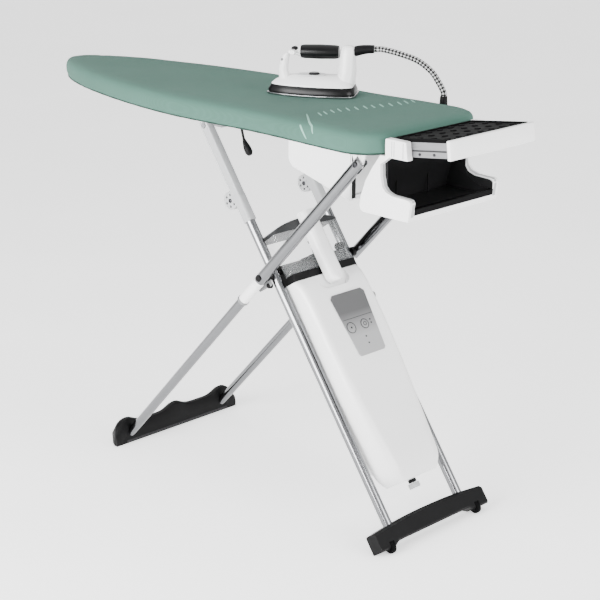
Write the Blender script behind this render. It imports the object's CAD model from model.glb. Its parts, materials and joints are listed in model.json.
"""Looks of the folding ironing board, around its CAD frame.

Row frame: metres, +Z up, +X towards the iron rest, origin on the floor.
"""
import json
import math

import bmesh
import bpy
from mathutils import Matrix, Vector, noise
from mathutils.bvhtree import BVHTree

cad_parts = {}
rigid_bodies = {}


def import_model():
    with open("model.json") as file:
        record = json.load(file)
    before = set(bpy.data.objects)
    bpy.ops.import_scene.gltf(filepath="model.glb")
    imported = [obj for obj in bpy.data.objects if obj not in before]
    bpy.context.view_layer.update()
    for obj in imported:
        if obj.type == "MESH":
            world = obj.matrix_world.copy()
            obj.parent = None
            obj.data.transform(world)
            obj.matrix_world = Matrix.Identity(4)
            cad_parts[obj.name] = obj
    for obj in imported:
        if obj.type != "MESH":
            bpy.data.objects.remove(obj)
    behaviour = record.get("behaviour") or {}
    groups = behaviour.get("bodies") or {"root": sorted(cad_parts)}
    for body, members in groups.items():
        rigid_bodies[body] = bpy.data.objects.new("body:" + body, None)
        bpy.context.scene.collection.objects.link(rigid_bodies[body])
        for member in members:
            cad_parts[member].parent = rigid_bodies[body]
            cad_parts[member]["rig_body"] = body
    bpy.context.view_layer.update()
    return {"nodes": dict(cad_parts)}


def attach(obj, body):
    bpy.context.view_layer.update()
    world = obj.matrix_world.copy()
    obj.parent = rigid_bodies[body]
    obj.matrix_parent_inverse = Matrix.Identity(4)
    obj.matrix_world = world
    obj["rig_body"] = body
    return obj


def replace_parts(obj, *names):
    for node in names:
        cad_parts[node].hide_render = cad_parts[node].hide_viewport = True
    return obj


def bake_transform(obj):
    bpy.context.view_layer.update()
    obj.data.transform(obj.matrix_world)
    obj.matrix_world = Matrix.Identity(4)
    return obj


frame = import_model()
NODES = frame["nodes"]

# ---------------------------------------------------------------- places that the CAD uses
BOARD_TOP = 0.9156
SKIRT_Z = 0.868
NOSE_X = -0.692
HEEL_X = 0.526
HALF_WIDTH = 0.188
CROSSING = Vector((0.1785, 0.0, 0.5393))
ANGLE_A = math.radians(46.6)
ANGLE_B = math.radians(54.5)
LEG_A_UPPER = 0.419
LEG_A_SPAN = 0.1517
LEG_B_SPAN = 0.1166
HINGE_A = CROSSING + LEG_A_UPPER * Vector((math.cos(ANGLE_A), 0.0, math.sin(ANGLE_A)))
TRAY_TILT = math.radians(7.2)
TRAY_ORIGIN = Vector((0.5295, 0.0, 0.9000))
IRON_CENTRE = Vector((0.139, 0.040, BOARD_TOP + 0.0003))
IRON_TURN = math.radians(36.0)
HOSE_RADIUS = 0.0066
GUIDE_TOP = Vector((0.389, 0.199, 0.925))
SHELL_START = 0.038
FRONT_SHELL = 0.497
BACK_SHELL = 0.475
PANEL_LEVEL = 0.0528
POWER_PLACE = (0.178, -0.0195)
STEAM_PLACE = (0.178, 0.0235)
NECK_PLACE = (-0.004, 0.010)
TUB_FRONT = 0.597
TUB_FLOOR = 0.741

# ---------------------------------------------------------------- other fixed numbers
CAMERA_LENS = 96.93
CAMERA_TURN = math.radians(45.328)
CAMERA_DIP = math.radians(18.029)
CAMERA_PLACE = (2.6614, -2.4906, 1.5962)
SHARP_ANGLE = 38.0
HOSE_SIDES = 20
BRAID_PITCH = 0.0155
PUFF_FRAMES = 12
PUFF_CAP = 0.0012
TICK_GAPS = 12.5
TICK_WIDTH = 0.0046

WORLD = Matrix.Identity(4)
ALONG_A = Matrix.Translation(HINGE_A) @ Matrix.Rotation(-ANGLE_A, 4, "Y")
ALONG_B = Matrix.Translation(CROSSING) @ Matrix.Rotation(ANGLE_B, 4, "Y")
ON_TRAY = Matrix.Translation(TRAY_ORIGIN) @ Matrix.Rotation(-TRAY_TILT, 4, "Y")
ON_IRON = Matrix.Translation(IRON_CENTRE) @ Matrix.Rotation(IRON_TURN, 4, "Z")


# ---------------------------------------------------------------- camera
def make_camera():
    data = bpy.data.cameras.new("camera")
    data.sensor_fit = "HORIZONTAL"
    data.sensor_width = 36.0
    data.lens = CAMERA_LENS
    data.clip_end = 80.0
    camera = bpy.data.objects.new("camera", data)
    bpy.context.scene.collection.objects.link(camera)
    level = math.cos(CAMERA_DIP)
    forward = Vector((-math.sin(CAMERA_TURN) * level, math.cos(CAMERA_TURN) * level, -math.sin(CAMERA_DIP)))
    camera.location = CAMERA_PLACE
    camera.rotation_euler = forward.to_track_quat("-Z", "Y").to_euler()
    bpy.context.scene.camera = camera


make_camera()


# ---------------------------------------------------------------- materials
class Finish:
    """A Principled material whose colour, roughness and relief come from procedural nodes."""

    def __init__(self, name, roughness, metallic=0.0):
        self.material = bpy.data.materials.new(name)
        self.material.use_nodes = True
        self.tree = self.material.node_tree
        self.shader = self.tree.nodes["Principled BSDF"]
        self.set("Roughness", roughness)
        self.set("Metallic", metallic)

    def set(self, socket, value):
        self.shader.inputs[socket].default_value = value
        return self

    def node(self, kind, **inputs):
        made = self.tree.nodes.new("ShaderNode" + kind)
        for key, value in inputs.items():
            made.inputs[key.replace("_", " ")].default_value = value
        return made

    def link(self, source, target):
        self.tree.links.new(source, target)

    def place(self, turn=(0.0, 0.0, 0.0), stretch=(1.0, 1.0, 1.0)):
        coords = self.node("TexCoord")
        mapping = self.node("Mapping")
        mapping.inputs["Rotation"].default_value = turn
        mapping.inputs["Scale"].default_value = stretch
        self.link(coords.outputs["Object"], mapping.inputs["Vector"])
        return mapping.outputs["Vector"]

    def noise(self, scale, detail=3.0, vector=None):
        made = self.node("TexNoise", Scale=scale, Detail=detail)
        self.link(vector or self.place(), made.inputs["Vector"])
        return made.outputs["Fac"]

    def wave(self, scale, direction, vector, distortion=0.0):
        made = self.node("TexWave", Scale=scale, Distortion=distortion)
        made.bands_direction = direction
        made.wave_profile = "SIN"
        self.link(vector, made.inputs["Vector"])
        return made.outputs["Fac"]

    def math(self, operation, a, b):
        made = self.node("Math")
        made.operation = operation
        for socket, value in zip(made.inputs, (a, b)):
            if isinstance(value, (int, float)):
                socket.default_value = value
            else:
                self.link(value, socket)
        return made.outputs[0]

    def blend(self, factor, low, high):
        ramp = self.node("ValToRGB")
        ramp.color_ramp.elements[0].color = (*low, 1.0)
        ramp.color_ramp.elements[1].color = (*high, 1.0)
        ramp.color_ramp.elements[0].position = 0.3
        ramp.color_ramp.elements[1].position = 0.7
        self.link(factor, ramp.inputs["Fac"])
        return ramp.outputs["Color"]

    def color(self, factor, low, high):
        self.link(self.blend(factor, low, high), self.shader.inputs["Base Color"])
        return self

    def rough(self, factor, low, high):
        spread = self.node("MapRange")
        spread.inputs["To Min"].default_value = low
        spread.inputs["To Max"].default_value = high
        self.link(factor, spread.inputs["Value"])
        self.link(spread.outputs["Result"], self.shader.inputs["Roughness"])
        return self

    def bump(self, height, distance, strength=0.5):
        made = self.node("Bump", Strength=strength, Distance=distance)
        self.link(height, made.inputs["Height"])
        self.link(made.outputs["Normal"], self.shader.inputs["Normal"])
        return self


def shade(color, factor):
    return tuple(min(1.0, channel * factor) for channel in color)


def plastic(name, color, roughness, spread=0.03, grain=1400.0, depth=0.00003, coat=0.0, specular=0.5):
    """Moulded plastic: faint tone drift, fine spark texture, uneven gloss."""
    made = Finish(name, roughness)
    drift = made.noise(9.0)
    made.color(drift, shade(color, 1 - spread), shade(color, 1 + spread))
    made.rough(made.noise(60.0), roughness - 0.05, roughness + 0.06)
    made.bump(made.noise(grain, 2.0), depth, 0.4)
    made.set("Specular IOR Level", specular)
    if coat:
        made.set("Coat Weight", coat)
        made.set("Coat Roughness", 0.08)
    return made.material


def metal(name, color, low, high, turn=(0.0, 0.0, 0.0), stretch=(6.0, 400.0, 400.0), depth=0.000006):
    """Metal with drawing or brushing lines along its first axis."""
    made = Finish(name, low, 1.0)
    lines = made.noise(1.0, 2.0, made.place(turn, stretch))
    made.color(lines, shade(color, 0.93), color)
    made.rough(lines, low, high)
    made.bump(lines, depth, 0.25)
    return made.material


def woven(name, color, pitch, depth, sheen):
    """Plain weave: two crossed thread waves with slow tone drift."""
    made = Finish(name, 0.85)
    place = made.place()
    scale = 0.314 / pitch
    warp = made.wave(scale, "X", place, 0.15)
    weft = made.wave(scale, "Y", place, 0.15)
    rise = made.wave(scale, "Z", place, 0.15)
    threads = made.math("MULTIPLY", made.math("ADD", warp, rise), weft)
    tone = made.math("ADD", made.math("MULTIPLY", threads, 0.16),
                     made.math("MULTIPLY", made.noise(5.0, 4.0), 0.84))
    made.color(tone, shade(color, 0.92), shade(color, 1.07))
    made.rough(made.noise(40.0), 0.78, 0.92)
    made.bump(made.math("ADD", threads, made.math("MULTIPLY", made.noise(300.0), 0.5)), depth, 0.5)
    made.set("Sheen Weight", sheen)
    made.set("Specular IOR Level", 0.15)
    made.set("Sheen Roughness", 0.5)
    return made.material


def braided(name):
    """Black and white braid drawn from the tube's own length and turn."""
    made = Finish(name, 0.7)
    coords = made.node("TexCoord")
    parts = made.node("SeparateXYZ")
    made.link(coords.outputs["UV"], parts.inputs["Vector"])
    around = made.math("MULTIPLY", parts.outputs["X"], 3.0 * 2 * math.pi)
    along = made.math("MULTIPLY", parts.outputs["Y"], 2 * math.pi / BRAID_PITCH)
    left = made.math("SINE", made.math("ADD", around, along), 0.0)
    right = made.math("SINE", made.math("SUBTRACT", around, along), 0.0)
    check = made.math("MULTIPLY", left, right)
    weave = made.math("ADD", made.math("MULTIPLY", check, 2.4), 0.20)
    made.color(weave, (0.004, 0.004, 0.004), (0.42, 0.42, 0.42))
    made.set("Specular IOR Level", 0.15)
    made.bump(check, 0.0006, 0.6)
    made.set("Sheen Weight", 0.2)
    return made.material


def clear(name):
    """Nearly clear moulded plastic."""
    made = Finish(name, 0.06)
    made.color(made.noise(14.0), (0.60, 0.62, 0.63), (0.74, 0.76, 0.77))
    made.rough(made.noise(30.0), 0.04, 0.12)
    made.bump(made.noise(90.0), 0.0002, 0.25)
    made.set("Alpha", 0.07)
    made.set("IOR", 1.5)
    made.set("Specular IOR Level", 0.7)
    return made.material


def gradient(name, axis_turn, low, high, colors, roughness, metallic):
    """Painted metal whose tone changes slowly along one direction of the row frame."""
    made = Finish(name, roughness, metallic)
    place = made.place(turn=axis_turn)
    parts = made.node("SeparateXYZ")
    made.link(place, parts.inputs["Vector"])
    spread = made.node("MapRange")
    spread.inputs["From Min"].default_value = low
    spread.inputs["From Max"].default_value = high
    made.link(parts.outputs["Z"], spread.inputs["Value"])
    made.color(spread.outputs["Result"], *colors)
    made.rough(made.noise(700.0), roughness - 0.04, roughness + 0.08)
    made.bump(made.noise(2200.0), 0.00001, 0.3)
    return made.material


LEG_TURN_A = (0.0, ANGLE_A, 0.0)
LEG_TURN_B = (0.0, -ANGLE_B, 0.0)
MINT = woven("mint_cotton", (0.052, 0.118, 0.093), 0.0012, 0.00022, 0.03)
HEM = woven("mint_binding", (0.016, 0.036, 0.028), 0.0009, 0.00025, 0.02)
PRINT = woven("pale_print", (0.19, 0.36, 0.30), 0.0012, 0.00016, 0.03)
WHITE = plastic("white_plastic", (0.80, 0.80, 0.80), 0.30, 0.012, coat=0.15)
SATIN = plastic("satin_white_plastic", (0.74, 0.745, 0.75), 0.42, 0.015, 900.0, 0.00004)
PALE = plastic("pale_grey_plastic", (0.36, 0.365, 0.37), 0.40, 0.03, specular=0.35)
GREY = plastic("grey_plastic", (0.17, 0.173, 0.176), 0.42, 0.04, specular=0.3)
DARK = plastic("dark_grey_plastic", (0.022, 0.023, 0.024), 0.40, 0.06, specular=0.22)
BLACK = plastic("black_plastic", (0.0035, 0.0035, 0.0038), 0.46, 0.10, 900.0, 0.00006, specular=0.10)
GLOSS = plastic("gloss_black_plastic", (0.003, 0.003, 0.0033), 0.30, 0.10, 2400.0, 0.00001, specular=0.16)
LINER = plastic("black_liner_plastic", (0.0075, 0.0075, 0.0080), 0.42, 0.12, 600.0, 0.00009, specular=0.22)
RUBBER = plastic("black_silicone", (0.0022, 0.0022, 0.0024), 0.62, 0.12, 1100.0, 0.00008, specular=0.04)
LIP = plastic("grey_rubber", (0.020, 0.020, 0.021), 0.5, 0.10, 800.0, 0.00008, specular=0.2)
CHROME_A = metal("chrome_leg_a", (0.19, 0.193, 0.20), 0.10, 0.20, LEG_TURN_A)
CHROME_B = metal("chrome_leg_b", (0.19, 0.193, 0.20), 0.10, 0.20, LEG_TURN_B)
STEEL = metal("brushed_steel", (0.36, 0.365, 0.375), 0.24, 0.40)
RUNNER = metal("zinc_runner", (0.23, 0.233, 0.24), 0.28, 0.42, (0.0, TRAY_TILT, 0.0))
SOLE = metal("polished_soleplate", (0.36, 0.365, 0.375), 0.10, 0.22)
SCREW = metal("dark_screw_steel", (0.06, 0.06, 0.065), 0.30, 0.45)
PAINT = plastic("grey_painted_steel", (0.30, 0.31, 0.32), 0.38, 0.03, 500.0, 0.00005)
SILVER = gradient("silver_lacquer", (0.0, 0.0, 0.0), 0.37, 0.49, ((0.34, 0.34, 0.345), (0.085, 0.085, 0.087)),
                  0.36, 0.35)
CLEAR = clear("clear_tank_plastic")
BRAID = braided("black_white_braid")


# ---------------------------------------------------------------- shape helpers
def skin(rings, caps=True):
    """Faces through rings of equal point counts, capped at both ends."""
    shape = bmesh.new()
    loops = [[shape.verts.new(point) for point in ring] for ring in rings]
    for low, high in zip(loops, loops[1:]):
        for i in range(len(low)):
            j = (i + 1) % len(low)
            shape.faces.new((low[i], low[j], high[j], high[i]))
    if caps:
        shape.faces.new(loops[0])
        shape.faces.new(loops[-1])
    return shape


def prism(outline, axis, low, high):
    def place(pair, level):
        spot = list(pair)
        spot.insert("XYZ".index(axis), level)
        return spot
    return skin([[place(pair, level) for pair in outline] for level in (low, high)])


def block(low, high):
    return prism([(low[0], low[1]), (high[0], low[1]), (high[0], high[1]), (low[0], high[1])], "Z", low[2],
                 high[2])


def circle(radius, count=32, centre=(0.0, 0.0)):
    turns = [2 * math.pi * i / count for i in range(count)]
    return [(centre[0] + radius * math.cos(t), centre[1] + radius * math.sin(t)) for t in turns]


def turned(profile, axis, centre=(0.0, 0.0), count=32):
    """Solid of revolution: profile is (level, radius) along the axis."""
    rings = []
    for level, radius in profile:
        ring = []
        for u, v in circle(radius, count, centre):
            spot = [u, v]
            spot.insert("XYZ".index(axis), level)
            ring.append(spot)
        rings.append(ring)
    return skin(rings)


def ring_band(axis, centre, inner, outer, low, high, count=40):
    """Flat ring: a closed loop of a rectangular section."""
    section = [(low, inner), (low, outer), (high, outer), (high, inner)]
    shape = bmesh.new()
    loops = []
    for level, radius in section:
        loop = []
        for u, v in circle(radius, count, centre):
            spot = [u, v]
            spot.insert("XYZ".index(axis), level)
            loop.append(shape.verts.new(spot))
        loops.append(loop)
    for k in range(4):
        here, there = loops[k], loops[(k + 1) % 4]
        for i in range(count):
            j = (i + 1) % count
            shape.faces.new((here[i], here[j], there[j], there[i]))
    return shape


def fillet(points, reach, steps=5, closed=True):
    """Rounds the corners of an outline with short curves."""
    count = len(points)
    result = []
    for i, point in enumerate(points):
        here = Vector(point)
        if not closed and i in (0, count - 1):
            result.append(tuple(here))
            continue
        before, after = Vector(points[i - 1]), Vector(points[(i + 1) % count])
        back, ahead = before - here, after - here
        start = here + back.normalized() * min(reach, back.length * 0.45)
        stop = here + ahead.normalized() * min(reach, ahead.length * 0.45)
        for k in range(steps + 1):
            t = k / steps
            result.append(tuple(start * (1 - t) ** 2 + here * (2 * t * (1 - t)) + stop * t ** 2))
    return result


def joined(shapes):
    """One bmesh from several."""
    whole = bmesh.new()
    for shape in shapes:
        mesh = bpy.data.meshes.new("part")
        shape.to_mesh(mesh)
        shape.free()
        whole.from_mesh(mesh)
        bpy.data.meshes.remove(mesh)
    return whole


def link(name, shape, finish, place=WORLD, angle=SHARP_ANGLE):
    """Links the bmesh as an object in the row frame."""
    bmesh.ops.recalc_face_normals(shape, faces=shape.faces)
    shape.transform(place)
    mesh = bpy.data.meshes.new(name)
    shape.to_mesh(mesh)
    shape.free()
    mesh.materials.append(finish)
    mesh.shade_smooth()
    mesh.set_sharp_from_angle(angle=math.radians(angle))
    item = bpy.data.objects.new(name, mesh)
    bpy.context.scene.collection.objects.link(item)
    return item


def soften(item, width, segments=2, angle=35.0):
    change = item.modifiers.new("edge", "BEVEL")
    change.width = width
    change.segments = segments
    change.limit_method = "ANGLE"
    change.angle_limit = math.radians(angle)
    change.harden_normals = True
    return item


def applied(item):
    """Applies the object's modifiers to its mesh."""
    bpy.context.view_layer.update()
    graph = bpy.context.evaluated_depsgraph_get()
    mesh = bpy.data.meshes.new_from_object(item.evaluated_get(graph))
    item.modifiers.clear()
    item.data = mesh
    return item


def cut(item, tool, operation="DIFFERENCE"):
    change = item.modifiers.new("cut", "BOOLEAN")
    change.operation = operation
    change.solver = "EXACT"
    change.object = tool
    applied(item)
    bpy.data.objects.remove(tool)
    return item


def piece(name, shape, finish, body, place=WORLD, edge=0.0):
    """Links a shape with softened edges and lets it ride on a body."""
    item = link(name, shape, finish, place)
    if edge:
        soften(item, edge)
    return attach(item, body)


def refine(node, finish, edge=0.0006, segments=2, angle=SHARP_ANGLE):
    """A finished copy of a CAD solid: welded, with broken edges and smooth shading."""
    source = NODES[node]
    shape = bmesh.new()
    shape.from_mesh(source.data)
    bmesh.ops.remove_doubles(shape, verts=shape.verts, dist=0.00001)
    bmesh.ops.dissolve_limit(shape, angle_limit=math.radians(0.7), verts=shape.verts, edges=shape.edges)
    item = link(node + "_finished", shape, finish, WORLD, angle)
    if edge:
        soften(item, edge, segments, angle - 4)
    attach(item, source["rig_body"])
    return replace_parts(item, node)


def screw(name, centre, axis, sign, radius, body, place=WORLD):
    """Pan-head screw with a cross recess, its head pointing along the signed axis."""
    head = [(0.0, radius), (sign * radius * 0.30, radius), (sign * radius * 0.52, radius * 0.72)]
    shape = turned(head, axis, (0.0, 0.0), 20)
    item = link(name, shape, SCREW)
    level = sign * radius * 0.52
    arms = []
    for long, short in ((0.62, 0.13), (0.13, 0.62)):
        half = {"X": (radius * 0.3, radius * long, radius * short),
                "Y": (radius * long, radius * 0.3, radius * short),
                "Z": (radius * long, radius * short, radius * 0.3)}[axis]
        middle = Vector([level if a == axis else 0.0 for a in "XYZ"])
        arms.append(block(middle - Vector(half), middle + Vector(half)))
    for arm in arms:
        cut(item, link(name + "_recess", arm, SCREW))
    item.data.transform(place @ Matrix.Translation(centre))
    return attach(item, body)


# ---------------------------------------------------------------- steam hose
def smooth_route(knots, between):
    """Catmull-Rom curve through the knots."""
    padded = [2 * knots[0] - knots[1], *knots, 2 * knots[-1] - knots[-2]]
    points = []
    for k in range(1, len(padded) - 2):
        a, b, c, d = padded[k - 1:k + 3]
        for i in range(between):
            t = i / between
            points.append(0.5 * (2 * b + (c - a) * t + (2 * a - 5 * b + 4 * c - d) * t ** 2
                                 + (3 * b - a - 3 * c + d) * t ** 3))
    points.append(knots[-1])
    return points


def make_hose():
    """Braided hose from the iron's cuff to the guide on the board's far edge."""
    start = ON_IRON @ Vector((0.1393, 0.0, 0.1050))
    heading = Vector((math.cos(IRON_TURN), math.sin(IRON_TURN), 0.0))
    end = GUIDE_TOP + Vector((0.0, 0.0, 0.0003))
    knots = [start + heading * 0.005, start + heading * 0.018, Vector((0.2975, 0.1475, 1.0145)),
             Vector((0.3335, 0.1715, 1.0000)), Vector((0.3615, 0.1870, 0.9775)),
             Vector((0.3780, 0.1940, 0.9540)),
             end + Vector((-0.002, -0.001, 0.012)), end + Vector((0.0, 0.0, 0.005))]
    points = [start] + smooth_route(knots, 8) + [end]
    lengths = [0.0]
    for a, b in zip(points, points[1:]):
        lengths.append(lengths[-1] + (b - a).length)
    rings = []
    across = None
    for i, point in enumerate(points):
        heading = (points[min(i + 1, len(points) - 1)] - points[max(i - 1, 0)]).normalized()
        across = across or Vector((0.0, 0.0, 1.0))
        across = (across - heading * across.dot(heading)).normalized()
        other = heading.cross(across)
        rings.append([point + HOSE_RADIUS * (across * u + other * v) for u, v in circle(1.0, HOSE_SIDES)])
    shape = skin(rings)
    layer = shape.loops.layers.uv.new("braid")
    shape.verts.index_update()
    for face in shape.faces:
        numbers = [loop.vert.index for loop in face.loops]
        for loop, number in zip(face.loops, numbers):
            turn = (number % HOSE_SIDES) / HOSE_SIDES
            seam = any(n % HOSE_SIDES == HOSE_SIDES - 1 for n in numbers)
            if len(face.verts) == 4 and turn == 0 and seam:
                turn = 1.0
            loop[layer].uv = (turn, lengths[number // HOSE_SIDES])
    hose = link("steam_hose", shape, BRAID)
    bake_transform(hose)
    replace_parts(hose, "hose")


make_hose()


# ---------------------------------------------------------------- board cover
def board_outline(inset, steps=64, corner_steps=14):
    """Plan of the board, drawn in by inset: pointed nose, slight waist, round heel corners."""
    nose = NOSE_X + 1.6 * inset
    heel = HEEL_X - inset
    corner = max(0.075 - inset, 0.01)
    taper_end = NOSE_X + 0.62
    half = []
    for i in range(steps + 1):
        t = (i / steps) ** 1.8
        width = (HALF_WIDTH - inset) * (1 - (1 - t) ** 1.5) ** 0.58
        half.append((nose + (taper_end - nose) * t, width))
    straight = heel - corner - taper_end
    for i in range(1, 34):
        part = i / 34
        drawn = 0.010 * math.sin(math.pi * part) ** 2
        half.append((taper_end + straight * part, HALF_WIDTH - inset - drawn))
    for i in range(corner_steps + 1):
        turn = math.pi / 2 * i / corner_steps
        half.append((heel - corner + corner * math.sin(turn),
                     HALF_WIDTH - inset - corner + corner * math.cos(turn)))
    return half + [(x, -y) for x, y in reversed(half[1:])]


def cover_rings():
    """(inset, height) from the hem under the edge, up the side and in over the top."""
    under = [(0.0120, BOARD_TOP - 0.0183), (0.0121, SKIRT_Z + 0.014), (0.0120, SKIRT_Z + 0.0030),
             (0.0110, SKIRT_Z + 0.0008), (0.0085, SKIRT_Z), (0.0055, SKIRT_Z + 0.0012)]
    side = [(0.0030, SKIRT_Z + 0.0045), (0.0012, SKIRT_Z + 0.0095), (0.0004, SKIRT_Z + 0.0160),
            (0.0004, BOARD_TOP - 0.0190), (0.0016, BOARD_TOP - 0.0130), (0.0040, BOARD_TOP - 0.0080),
            (0.0076, BOARD_TOP - 0.0045), (0.0125, BOARD_TOP - 0.0022), (0.0185, BOARD_TOP - 0.0009)]
    top = [(0.026, BOARD_TOP - 0.0003)] + [(0.026 + 0.0125 * i, BOARD_TOP) for i in range(1, 13)]
    return under + side + top


def pucker(x, y, z):
    """Small gathers near the hem: strongest at the nose and round the heel corners."""
    low = max(0.0, 1.0 - (z - SKIRT_Z) / 0.034)
    heel = math.exp(-((x - 0.485) / 0.050) ** 2) * min(1.0, abs(y) / 0.10)
    nose = math.exp(-((x - NOSE_X) / 0.10) ** 2)
    around = math.atan2(y, x - (0.45 if x > 0 else NOSE_X + 0.18))
    gather = 0.5 + 0.5 * math.sin(around * 46.0 + 2.0 * noise.noise(Vector((x * 20, y * 20, 0.0))))
    drift = noise.noise(Vector((x * 16.0, y * 16.0, z * 10.0)))
    return -low * (heel + 0.8 * nose) * 0.0016 * gather + (0.0003 + 0.0005 * low) * drift


def make_cover():
    rings = cover_rings()
    outlines = [board_outline(inset) for inset, _ in rings]
    shape = skin([[(x, y, z) for x, y in outline] for outline, (_, z) in zip(outlines, rings)], caps=False)
    shape.verts.ensure_lookup_table()
    count = len(outlines[0])
    last = (len(rings) - 1) * count
    half = (count + 1) // 2
    for start, flip in ((0, False), (last, True)):
        loop = [shape.verts[start + i] for i in range(count)]
        for i in range(half - 1):
            a, b = loop[i], loop[i + 1]
            c, d = loop[(count - i - 1) % count], loop[(count - i) % count]
            corners = [a, b, c, d] if i else [a, b, c]
            if len(set(corners)) == len(corners) and b is not c:
                shape.faces.new(corners if not flip else corners[::-1])
    cover = link("cover_padded", shape, MINT, WORLD, 180.0)
    puff(cover)
    for vertex in cover.data.vertices:
        x, y, z = vertex.co
        push = pucker(x, y, z)
        if z < BOARD_TOP - 0.004 and z > SKIRT_Z + 0.0008:
            away = Vector((vertex.normal.x, vertex.normal.y, 0.0))
            if away.length > 0.3:
                vertex.co += away.normalized() * push
        elif z >= BOARD_TOP - 0.004:
            vertex.co.z += 0.0004 * noise.noise(Vector((x * 9.0, y * 9.0, 1.7))) - 0.0004
    smooth = cover.modifiers.new("smooth", "SUBSURF")
    smooth.levels = 1
    smooth.render_levels = 1
    applied(cover)
    cover.data.shade_smooth()
    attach(cover, "board")
    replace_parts(cover, "board_cover")
    return cover


def puff(cover):
    """Cloth under light pressure, held by its hem; no point moves more than the cap."""
    start = [vertex.co.copy() for vertex in cover.data.vertices]
    held = cover.vertex_groups.new(name="hem")
    for vertex in cover.data.vertices:
        inner = vertex.co.z < SKIRT_Z + 0.004
        held.add([vertex.index], 1.0 if inner else 0.0, "REPLACE")
    scene = bpy.context.scene
    cloth = cover.modifiers.new("cloth", "CLOTH")
    cloth.settings.quality = 4
    cloth.settings.mass = 0.3
    cloth.settings.tension_stiffness = 25
    cloth.settings.compression_stiffness = 25
    cloth.settings.bending_stiffness = 2
    cloth.settings.vertex_group_mass = "hem"
    cloth.settings.use_pressure = True
    cloth.settings.uniform_pressure_force = 3.0
    cloth.settings.effector_weights.gravity = 0.0
    cloth.point_cache.frame_start = 1
    cloth.point_cache.frame_end = PUFF_FRAMES + 2
    scene.frame_start = 1
    for number in range(1, PUFF_FRAMES + 1):
        scene.frame_set(number)
    graph = bpy.context.evaluated_depsgraph_get()
    moved = [vertex.co.copy() for vertex in cover.evaluated_get(graph).data.vertices]
    cover.modifiers.clear()
    scene.frame_set(1)
    for vertex, before, after in zip(cover.data.vertices, start, moved):
        shift = after - before
        if shift.length > PUFF_CAP:
            shift *= PUFF_CAP / shift.length
        vertex.co = before + shift


cover = make_cover()


def make_hem():
    """Bound edge with its drawcord, sewn round under the cover."""
    outline = board_outline(0.0052, 48, 10)
    points = [Vector((x, y, SKIRT_Z + 0.0022)) for x, y in outline]
    count = len(points)
    rings = []
    for i, point in enumerate(points):
        heading = (points[(i + 1) % count] - points[i - 1]).normalized()
        out = Vector((heading.y, -heading.x, 0.0))
        swell = 0.0017 + 0.0002 * math.sin(i * 1.9)
        rings.append([point + out * (swell * u) + Vector((0.0, 0.0, swell * v)) for u, v in circle(1.0, 8)])
    shape = skin(rings + [rings[0]], caps=False)
    bmesh.ops.remove_doubles(shape, verts=shape.verts, dist=0.000001)
    piece("cover_hem", shape, HEM, "board")


make_hem()


def make_prints():
    """Printed strokes that lie on the cover: an arc of short ones, two long ones over the near edge."""
    graph = bpy.context.evaluated_depsgraph_get()
    tree = BVHTree.FromObject(cover, graph)

    def stroke(route, width):
        rings = []
        for i, point in enumerate(route):
            heading = (route[min(i + 1, len(route) - 1)] - route[max(i - 1, 0)]).normalized()
            place, normal, _, _ = tree.find_nearest(point)
            across = normal.cross(heading).normalized()
            ends = math.sqrt(max(0.05, 1 - (2 * i / (len(route) - 1) - 1) ** 4))
            ring = []
            for u, rise in ((-1.0, -0.0002), (-0.8, 0.00035), (0.8, 0.00035), (1.0, -0.0002)):
                spot = place + across * (u * width * ends / 2)
                near, up, _, _ = tree.find_nearest(spot)
                ring.append(near + up * rise)
            rings.append(ring)
        return skin(rings)

    shapes = []
    along = Vector((0.856, -0.517, 0.0))
    knots = [Vector((x, y, BOARD_TOP)) for x, y in ((0.3082, -0.1110), (0.3053, -0.0537), (0.3158, -0.0124),
                                                    (0.3280, 0.0310), (0.3440, 0.0830), (0.3500, 0.1486))]
    arc = smooth_route(knots, 10)
    total = sum((b - a).length for a, b in zip(arc, arc[1:]))
    done, wanted = 0.0, 0
    for a, b in zip(arc, arc[1:]):
        done += (b - a).length
        if done >= total * wanted / TICK_GAPS:
            wanted += 1
            route = [b + along * (0.017 * (k / 3 - 1)) for k in range(7)]
            shapes.append(stroke(route, TICK_WIDTH))
    side_y = -HALF_WIDTH
    lower = [(0.3217, side_y, 0.9129), (0.3300, side_y, 0.9000), (0.3452, side_y, 0.8800)]
    upper = [(0.2871, -0.1235, BOARD_TOP), (0.3560, -0.1830, BOARD_TOP), (0.3652, side_y, 0.8950)]
    for corners, width in ((lower, 0.0052), (upper, 0.0048)):
        spots = [Vector(corner) for corner in corners]
        route = [spots[0].lerp(spots[1], k / 10) for k in range(10)]
        route += [spots[1].lerp(spots[2], k / 8) for k in range(9)]
        shapes.append(stroke(route, width))
    piece("cover_print", joined(shapes), PRINT, "board")


make_prints()


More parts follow.
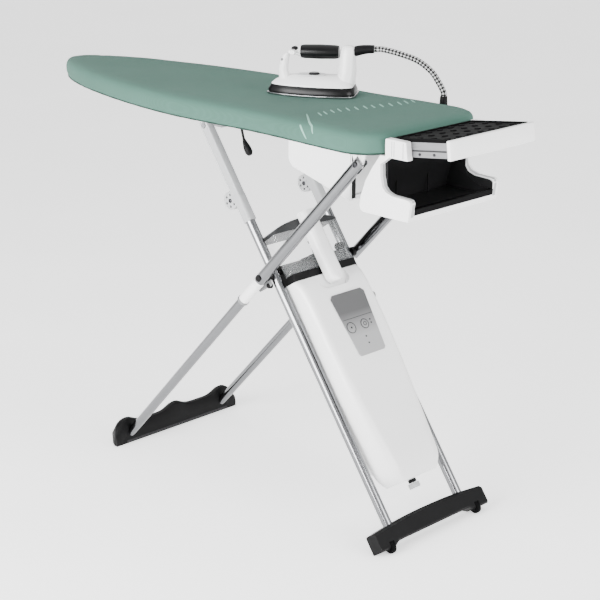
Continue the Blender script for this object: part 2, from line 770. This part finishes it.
# ---------------------------------------------------------------- CAD solids that keep their shape
KEPT = {
    PAINT: (("board_deck", 0.0), ("board_base", 0.0005), ("carriage_rail_near", 0.0003),
            ("carriage_rail_far", 0.0003)),
    WHITE: (("fan_housing", 0.0012), ("pivot_bracket_near", 0.0008), ("pivot_bracket_far", 0.0008),
            ("tub_shell", 0.0012),
            ("tray_front", 0.0), ("leg_a_sleeve_near", 0.0004), ("leg_a_sleeve_far", 0.0004),
            ("tank_grip", 0.0)),
    SATIN: (("fan_outlet_frame", 0.0008),),
    LINER: (("tub_liner", 0.0009),),
    BLACK: (("hose_guide", 0.0006), ("fan_impeller", 0.0004), ("height_lever", 0.0), ("leg_axle", 0.0004),
            ("foot_a", 0.0010), ("foot_b", 0.0012), ("tank_filter", 0.0005), ("iron_cuff", 0.0007),
            ("tank_seat", 0.0006)),
    RUBBER: (("tray_mat", 0.0004), ("steam_line", 0.0), ("wheel_near", 0.0004), ("wheel_far", 0.0004)),
    RUNNER: (("slide_outer_near", 0.0), ("slide_outer_far", 0.0), ("slide_mid_near", 0.0),
             ("slide_mid_far", 0.0),
             ("tray_pan", 0.0002)),
    CHROME_A: (("leg_a_upper_near", 0.0), ("leg_a_upper_far", 0.0), ("leg_a_lower_near", 0.0),
               ("leg_a_lower_far", 0.0)),
    CHROME_B: (("leg_b_tube_near", 0.0), ("leg_b_tube_far", 0.0)),
    PALE: (("knuckle_near", 0.0006), ("knuckle_far", 0.0006), ("arm_near", 0.0008), ("arm_far", 0.0008),
           ("drain_cap", 0.0)),
    GREY: (("steam_gland", 0.0005),),
    DARK: (("tank_lid", 0.0014),),
    SILVER: (("control_panel", 0.0006), ("power_button", 0.0003), ("steam_button", 0.0003)),
    CLEAR: (("tank_body", 0.0012),),
    STEEL: (("carriage", 0.0004),),
    SOLE: (("iron_soleplate", 0.0006),),
    GLOSS: (("iron_skirt", 0.0008), ("iron_grip", 0.0008), ("iron_dial", 0.0006)),
}
for finish, entries in KEPT.items():
    for node, edge in entries:
        refine(node, finish, edge)
refine("iron_body", WHITE, 0.0016, 3, 30.0)


# ---------------------------------------------------------------- steam generator shells
def generator_ring(part, front, length, gap):
    """Rounded section of the boat-shaped shell at one part of its length."""
    distance = SHELL_START + length * part
    whole = (distance - SHELL_START) / FRONT_SHELL
    base = 0.1045 - 0.010 * max(0.0, whole - 0.55) / 0.45
    face = 0.098 - 0.034 * max(0.0, whole - 0.30) ** 1.4 / 0.70 ** 1.4
    height = abs(front) * (1 - 0.32 * math.exp(-whole * 26))
    closing = 1.0 - 0.22 * max(0.0, (part - 0.92) / 0.08) ** 2
    out = math.copysign(height * closing, front)
    level = math.copysign(gap, front)
    shoulder = face + 0.35 * (base - face)
    half = [(base * closing, level), (base * closing, out * 0.30), (shoulder * closing, out * 0.86),
            (face * min(1.0, closing + 0.06) - 0.006, out)]
    ring = half + [(-y, z) for y, z in reversed(half)]
    return [(distance, y, z) for y, z in fillet(ring, 0.012, 5, False)]


def make_generator():
    """Front shell with its recess and drain neck, back shell, and the neck's seal."""
    stations = [0.0, 0.008, 0.02, 0.035, 0.05, 0.08, 0.12, 0.17, 0.22, 0.28, 0.35, 0.42, 0.48, 0.54, 0.60,
                0.66, 0.72,
                0.78, 0.84, 0.88, 0.92, 0.94, 0.96, 0.98, 1.0]
    front = link("generator_shell_front",
                 skin([generator_ring(p, 0.050, FRONT_SHELL, 0.00015) for p in stations]), WHITE)
    half_x, half_y, corner = 0.048, 0.050, 0.022
    recess = []
    for k, (sx, sy) in enumerate(((1, 1), (-1, 1), (-1, -1), (1, -1))):
        for i in range(9):
            turn = math.pi / 2 * (k + i / 8)
            recess.append((0.028 + sx * (half_x - corner) + corner * math.cos(turn),
                           sy * (half_y - corner) + corner * math.sin(turn)))
    cut(front, link("recess_cutter", prism(recess, "Z", 0.0355, 0.09), WHITE))
    neck = turned([(0.526, 0.008), (0.536, 0.008), (0.536, 0.0065), (0.545, 0.0065)], "X", NECK_PLACE, 24)
    cut(front, link("neck_tool", neck, WHITE), "UNION")
    soften(front, 0.0010, 2, 40.0)
    front.data.transform(ALONG_B)
    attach(front, "leg_b")
    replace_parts(front, "generator_front")
    back = link("generator_shell_back",
                skin([generator_ring(p, -0.035, BACK_SHELL, 0.00015) for p in stations]), WHITE)
    soften(back, 0.0010, 2, 40.0)
    back.data.transform(ALONG_B)
    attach(back, "leg_b")
    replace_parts(back, "generator_back")
    piece("drain_neck_seal", ring_band("X", NECK_PLACE, 0.0067, 0.0095, 0.5365, 0.5440), BLACK, "leg_b",
          ALONG_B, 0.0004)


make_generator()


# ---------------------------------------------------------------- small details
def make_panel_details():
    """Dividing line, rings round the two buttons and plain indicator symbols."""
    level = PANEL_LEVEL
    line = block((0.1575, -0.0345, level - 0.0004), (0.1585, 0.0590, level + 0.0001))
    piece("panel_divider", line, DARK, "leg_b", ALONG_B)
    for name, centre, radius in (("power_ring", POWER_PLACE, 0.0119), ("steam_ring", STEAM_PLACE, 0.0104)):
        piece(name, ring_band("Z", centre, radius - 0.0002, radius + 0.0012, level - 0.0002, level + 0.0004),
              DARK, "leg_b",
              ALONG_B, 0.0001)
    piece("power_symbol", turned([(level + 0.0006, 0.0024), (level + 0.0012, 0.0024)], "Z", POWER_PLACE, 20),
          DARK, "power_button", ALONG_B)
    piece("steam_symbol", ring_band("Z", STEAM_PLACE, 0.0034, 0.0048, level + 0.0006, level + 0.0012), DARK,
          "steam_button", ALONG_B)
    marks = []
    for s, y in ((0.172, 0.0440), (0.180, 0.0440), (0.206, 0.0120), (0.222, 0.0120)):
        marks.append(turned([(level - 0.0004, 0.0019), (level + 0.00025, 0.0019)], "Z", (s, y), 16))
    piece("panel_symbols", joined(marks), DARK, "leg_b", ALONG_B)


make_panel_details()


def make_leg_details():
    """Bands round the sleeves of leg A, and screws at its hinge and at the knuckles of leg B."""
    top = -LEG_A_UPPER
    for side, sign in (("near", -1.0), ("far", 1.0)):
        y = sign * LEG_A_SPAN
        piece("sleeve_band_" + side, ring_band("X", (y, 0.0), 0.0119, 0.0137, top - 0.0965, top - 0.0890),
              GREY, "leg_a",
              ALONG_A, 0.0006)
        piece("sleeve_top_ring_" + side, ring_band("X", (y, 0.0), 0.0126, 0.0136, top - 0.0240, top - 0.0195),
              SATIN,
              "leg_a", ALONG_A, 0.0003)
        screw("hinge_screw_" + side, Vector((HINGE_A.x, sign * (LEG_A_SPAN + 0.0133), HINGE_A.z)), "Y", sign,
              0.0062, "leg_a")
        screw("knuckle_screw_" + side, Vector((-0.1955, sign * (LEG_B_SPAN + 0.0066), -0.026)), "Y", sign,
              0.0048, "leg_b",
              ALONG_B)
        screw("knuckle_screw_inner_" + side, Vector((-0.1955, sign * (LEG_B_SPAN - 0.0066), -0.026)), "Y",
              -sign, 0.0048,
              "leg_b", ALONG_B)


make_leg_details()


def make_latch():
    """Small catch plate and knob beside the crossing, on the near side."""
    top = -LEG_A_UPPER
    outline = fillet([(top - 0.050, -0.012), (top - 0.004, -0.024), (top + 0.004, -0.012),
                      (top - 0.004, 0.004),
                      (top - 0.046, 0.002)], 0.005)
    plate = skin([[(x, y, z) for x, z in outline] for y in (-0.1378, -0.1358)])
    piece("latch_plate", plate, GREY, "leg_a", ALONG_A, 0.0005)
    piece("latch_knob",
          turned([(-0.1385, 0.006), (-0.1300, 0.0075), (-0.1290, 0.006)], "Y", (top - 0.014, -0.018)), BLACK,
          "leg_a", ALONG_A, 0.0005)


make_latch()


def make_tub_details():
    """Grey rim along the mouth, ridges on the posts, and the liner's front lip, cheeks and two ribs."""
    front, floor = TUB_FRONT, TUB_FLOOR
    mouth = [(front - 0.0035, floor + 0.010), (front + 0.0004, floor + 0.039),
             (front - 0.004, floor + 0.0455),
             (front - 0.012, floor + 0.0470), (front - 0.052, floor + 0.0480),
             (front - 0.068, floor + 0.0535),
             (front - 0.077, floor + 0.0625), (front - 0.082, floor + 0.0835), (front - 0.083, floor + 0.108)]
    route = fillet(mouth, 0.006, 4, False)
    for side, sign in (("near", -1.0), ("far", 1.0)):
        rings = []
        for x, z in route:
            rings.append([(x, sign * 0.1260, z), (x, sign * 0.1330, z),
                          (x - 0.0022, sign * 0.1330, z - 0.0012),
                          (x - 0.0022, sign * 0.1260, z - 0.0012)])
        piece("tub_rim_" + side, skin(rings), PALE, "board", WORLD, 0.0003)
        for number, x in enumerate((0.5440, 0.5500, 0.5740)):
            low, high = sorted((sign * 0.1403, sign * 0.1410))
            piece(f"post_ridge_{side}_{number}", block((x, low, 0.8690), (x + 0.0016, high, 0.9005)), PALE,
                  "board", WORLD, 0.0003)
    lip = [(front - 0.0045, floor + 0.0122), (front - 0.0042, floor + 0.0145),
           (front - 0.0026, floor + 0.0238),
           (front - 0.0126, floor + 0.0238), (front - 0.0126, floor + 0.0252),
           (front - 0.0012, floor + 0.0252),
           (front - 0.0030, floor + 0.0145), (front - 0.0036, floor + 0.0122)]
    piece("liner_lip", prism(lip, "Y", -0.1240, 0.1240), RUBBER, "board", WORLD, 0.0003)
    cheek = [(front - 0.0810, floor + 0.0220), (front - 0.0042, floor + 0.0245),
             (front - 0.0033, floor + 0.0380),
             (front - 0.0080, floor + 0.0425), (front - 0.0165, floor + 0.0440),
             (front - 0.0535, floor + 0.0450),
             (front - 0.0705, floor + 0.0510), (front - 0.0800, floor + 0.0610),
             (front - 0.0850, floor + 0.0810),
             (front - 0.0860, floor + 0.1080)]
    for side, sign in (("near", -1.0), ("far", 1.0)):
        low, high = sorted((sign * 0.1245, sign * 0.1235))
        piece("liner_cheek_" + side, prism(cheek, "Y", low, high), LINER, "board")
    rib = [(0.4760, 0.7515), (0.4790, 0.7515), (0.4800, 0.8000), (0.4990, 0.8380), (0.5150, 0.8560),
           (0.5120, 0.8560),
           (0.4960, 0.8390), (0.4770, 0.8010)]
    for number, y in enumerate((-0.0500, 0.0500)):
        piece(f"liner_rib_{number}", prism(rib, "Y", y - 0.0012, y + 0.0012), LINER, "board", WORLD, 0.0004)


make_tub_details()


def make_tray_details():
    """Raised border of the mat, and the dark gaps and screws of the runners."""
    border = []
    for y in (-0.1215, 0.1215):
        border.append(block((0.002, y - 0.0025, -0.0006), (0.1500, y + 0.0025, 0.0034)))
    border.append(block((0.002, -0.1215, -0.0006), (0.0070, 0.1215, 0.0034)))
    border.append(block((0.1455, -0.1215, -0.0006), (0.1500, 0.1215, 0.0030)))
    piece("mat_border", joined(border), RUBBER, "iron_rest", ON_TRAY, 0.0008)
    for side, sign in (("near", -1.0), ("far", 1.0)):
        strip = block((0.007, min(sign * 0.1238, sign * 0.1247), -0.0226),
                      (0.146, max(sign * 0.1238, sign * 0.1247), -0.0207))
        piece("runner_gap_" + side, strip, LINER, "board", ON_TRAY, 0.0002)
        for number, x in enumerate((0.072, 0.110)):
            screw(f"runner_screw_{side}_{number}", Vector((x, sign * 0.1243, -0.0285)), "Y", sign, 0.0030,
                  "board", ON_TRAY)


make_tray_details()


def make_tank_details():
    """Float and valve knob inside the clear tank."""
    probe = [(-0.0430, 0.0030), (-0.0400, 0.0038), (-0.0150, 0.0062), (-0.0145, 0.0074), (0.0160, 0.0082),
             (0.0175, 0.0070)]
    piece("tank_float", turned(probe, "Y", (-0.0080, 0.0200)), BLACK, "tank", ALONG_B, 0.0004)
    knob = [(0.0740, 0.0070), (0.0755, 0.0090), (0.0850, 0.0090), (0.0855, 0.0080), (0.0930, 0.0080),
            (0.0940, 0.0070)]
    piece("tank_valve", turned(knob, "Y", (-0.0160, 0.0215)), BLACK, "tank", ALONG_B, 0.0004)


make_tank_details()


def make_fan_details():
    """Dark strip down the edge of the fan housing's outlet."""
    x = 0.3872
    piece("fan_frame_strip", block((x, -0.0895, 0.7445), (x + 0.0008, -0.0775, 0.8620)), BLACK, "board",
          WORLD, 0.0003)


make_fan_details()


def dome(centre, radii, count=24):
    """Closed ellipsoid with its poles along Y."""
    rings = []
    for i in range(1, 12):
        turn = math.pi * i / 12
        rings.append([(centre[0] + radii[0] * math.sin(turn) * u, centre[1] - radii[1] * math.cos(turn),
                       centre[2] + radii[2] * math.sin(turn) * v) for u, v in circle(1.0, count)])
    return skin(rings)


def make_iron_details():
    """Seam band, trigger at its place in the photo, and lamp."""
    piece("iron_seam_band",
          skin([[(x, y, z) for x,
                 y in fillet([(-0.030, -0.020), (0.030, -0.020), (0.030, 0.020), (-0.030, 0.020)], 0.012)]
                                  for z in (0.0450, 0.0462)]), SATIN, "iron", ON_IRON, 0.0004)
    trigger = piece("iron_trigger_button", dome((-0.0365, -0.0108, 0.1045), (0.0078, 0.0056, 0.0050)), GLOSS,
                    "iron_trigger",
                    ON_IRON)
    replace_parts(trigger, "iron_trigger")
    piece("iron_lamp", dome((-0.0655, -0.0108, 0.0790), (0.0028, 0.0030, 0.0030)), GREY, "iron", ON_IRON)


make_iron_details()


def make_foot_details():
    """Grey strip low along the face of foot A."""
    front = CROSSING.x - CROSSING.z / math.tan(ANGLE_A) + 0.0275
    strip = block((front - 0.0004, -0.168, 0.0022), (front + 0.0010, 0.168, 0.0078))
    piece("foot_a_strip", strip, LIP, "leg_a", WORLD, 0.0005)


make_foot_details()


# ---------------------------------------------------------------- floor and light
def make_stage():
    """Floor, surroundings with dark sectors that streak the chrome, and three area lamps."""
    shape = bmesh.new()
    bmesh.ops.create_grid(shape, x_segments=1, y_segments=1, size=40.0)
    made = Finish("pale_floor", 0.9)
    made.color(made.noise(2.0), (0.86, 0.86, 0.86), (0.90, 0.90, 0.90))
    made.set("Specular IOR Level", 0.05)
    made.set("Emission Color", (1.0, 1.0, 1.0, 1.0))
    made.set("Emission Strength", 0.9)
    floor = link("floor", shape, made.material)
    floor.location.z = -0.0005

    world = bpy.data.worlds.new("studio")
    bpy.context.scene.world = world
    world.use_nodes = True
    tree = world.node_tree
    sky = tree.nodes["Background"]
    coords = tree.nodes.new("ShaderNodeTexCoord")
    parts = tree.nodes.new("ShaderNodeSeparateXYZ")
    tree.links.new(coords.outputs["Generated"], parts.inputs["Vector"])

    def calc(operation, a, b=0.0):
        made = tree.nodes.new("ShaderNodeMath")
        made.operation = operation
        for socket, value in zip(made.inputs, (a, b)):
            if isinstance(value, float):
                socket.default_value = value
            else:
                tree.links.new(value, socket)
        return made.outputs[0]

    azimuth = calc("ARCTAN2", parts.outputs["Y"], parts.outputs["X"])
    sectors = calc("SINE", calc("ADD", calc("MULTIPLY", azimuth, 4.0), 0.6))
    low = calc("LESS_THAN", parts.outputs["Z"], 0.75)
    dark = calc("MULTIPLY", calc("GREATER_THAN", sectors, 0.25), low)
    ramp = tree.nodes.new("ShaderNodeValToRGB")
    tree.links.new(dark, ramp.inputs["Fac"])
    tree.links.new(ramp.outputs["Color"], sky.inputs["Color"])
    stops = ramp.color_ramp.elements
    stops[0].position, stops[0].color = 0.0, (1.0, 1.0, 1.0, 1.0)
    stops[1].position, stops[1].color = 1.0, (0.02, 0.02, 0.02, 1.0)
    sky.inputs["Strength"].default_value = 1.7

    def lamp(name, place, aim, size, power):
        data = bpy.data.lights.new(name, "AREA")
        data.shape = "RECTANGLE"
        data.size, data.size_y = size
        data.energy = power
        item = bpy.data.objects.new(name, data)
        item.location = place
        item.rotation_euler = (Vector(aim) - Vector(place)).to_track_quat("-Z", "Y").to_euler()
        bpy.context.scene.collection.objects.link(item)

    lamp("key_light", (0.2, -3.2, 1.3), (0.0, 0.0, 0.7), (2.4, 1.4), 290.0)
    lamp("side_light", (3.4, 0.4, 1.5), (0.1, 0.0, 0.6), (1.8, 1.4), 110.0)
    lamp("top_light", (-0.4, 0.6, 3.6), (0.0, 0.0, 0.5), (3.0, 3.0), 22.0)


make_stage()
